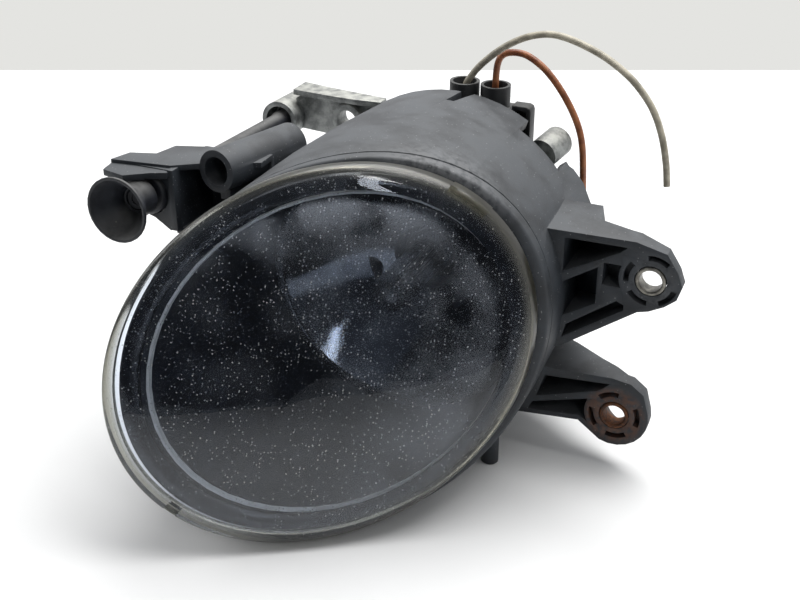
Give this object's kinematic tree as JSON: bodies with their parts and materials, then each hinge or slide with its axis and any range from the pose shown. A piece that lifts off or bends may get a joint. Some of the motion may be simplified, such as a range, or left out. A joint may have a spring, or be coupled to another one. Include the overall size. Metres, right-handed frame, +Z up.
{
  "type": "front fog light",
  "caption": "Round raked-lens fog light with fixing ears, aiming screw on a cast arm, removable bulb and plug with cut wires.",
  "frame": {"origin": "middle of the footprint, at the surface the lamp stands on", "axes": "+X to the fixing ears, +Y back along the optical axis, +Z up; the lens faces -Y"},
  "size_m": [0.16, 0.1504, 0.1193],
  "materials": {
    "housing_plastic": "moulded, faded and dusty",
    "black_plastic": "moulded, satin",
    "socket_plastic": "moulded, satin",
    "clear_lens": "polished, slightly yellowed",
    "mirror_coat": "vacuum metallised, dull",
    "chrome_edge": "bright",
    "die_cast": "die-cast, oxidised",
    "steel": "zinc plated, dull",
    "rusted_steel": "rusted",
    "rubber": "moulded",
    "quartz_glass": "clear, dark tip",
    "tungsten": "drawn wire",
    "copper_alloy": "stamped",
    "white_insulation": "extruded, dirty",
    "brown_insulation": "extruded",
    "bulb_base_plastic": "moulded"
  },
  "bodies": {
    "housing": {"housing": "housing_plastic", "front_ring": "housing_plastic", "ear_sleeve_upper": "steel", "ear_sleeve_lower": "rusted_steel", "pivot_bush_left": "black_plastic", "pivot_bush_right": "black_plastic"},
    "screw_swing": {"adjuster_bearing": "black_plastic", "adjuster_clip": "steel"},
    "screw_turn": {"adjuster_funnel": "black_plastic", "adjuster_rod": "black_plastic"},
    "nut": {"adjuster_nut": "black_plastic"},
    "optical_unit": {"reflector": "mirror_coat", "cast_carrier": "die_cast", "carrier_screw_1": "steel", "carrier_screw_2": "steel", "carrier_screw_3": "steel", "pivot_pin_left": "steel", "pivot_pin_right": "steel", "lens": "clear_lens", "lens_gasket": "rubber", "trim_ring": "chrome_edge", "vent_cap": "rubber"},
    "bulb": {"bulb_base": "bulb_base_plastic", "bulb_glass": "quartz_glass", "filament": "tungsten", "bulb_seal": "rubber", "bulb_terminal_left": "copper_alloy", "bulb_terminal_right": "copper_alloy"},
    "connector": {"connector_housing": "socket_plastic", "wire_seal_left": "rubber", "wire_seal_right": "rubber", "plug_terminal_left": "copper_alloy", "plug_terminal_right": "copper_alloy", "wire_white": "white_insulation", "wire_brown": "brown_insulation"},
    "lock": {"connector_lock": "socket_plastic"}
  },
  "joints": [
    {"name": "beam_tilt", "type": "hinge", "parent": "housing", "child": "optical_unit", "pos_m": [-0.00375, 0.0303, 0.0511], "axis": [1, 0, 0], "range_deg": [-1.5, 1.5]},
    {"name": "screw_swing_angle", "type": "hinge", "parent": "housing", "child": "screw_swing", "pos_m": [-0.06872, -0.01991, 0.08291], "axis": [1, 0, 0], "range_deg": [-1, 1]},
    {"name": "adjuster_turn", "type": "hinge", "parent": "screw_swing", "child": "screw_turn", "pos_m": [-0.06872, -0.01991, 0.08291], "axis": [0.0075, 0.9991, -0.0408], "range_deg": [-190, 190]},
    {"name": "nut_travel", "type": "slide", "parent": "screw_swing", "child": "nut", "axis": [0.0075, 0.9991, -0.0408], "range_m": [-0.0012, 0.0012]},
    {"name": "bulb_turn", "type": "hinge", "parent": "optical_unit", "child": "bulb", "pos_m": [-0.00375, 0.0463, 0.0511], "axis": [0, -1, 0], "range_deg": [0, 20]},
    {"name": "plug_slide", "type": "slide", "parent": "bulb", "child": "connector", "axis": [0, 0, 1], "range_m": [0, 0.02]},
    {"name": "lock_press", "type": "slide", "parent": "connector", "child": "lock", "axis": [-1, 0, 0], "range_m": [0, 0.0012], "stiffness_N_per_m": 400}
  ],
  "couplings": [
    {"joint": "screw_swing_angle", "follows": "beam_tilt", "ratio": 0.40594},
    {"joint": "adjuster_turn", "follows": "beam_tilt", "ratio": 124.77},
    {"joint": "nut_travel", "follows": "beam_tilt", "m_per_rad": -0.029787}
  ]
}
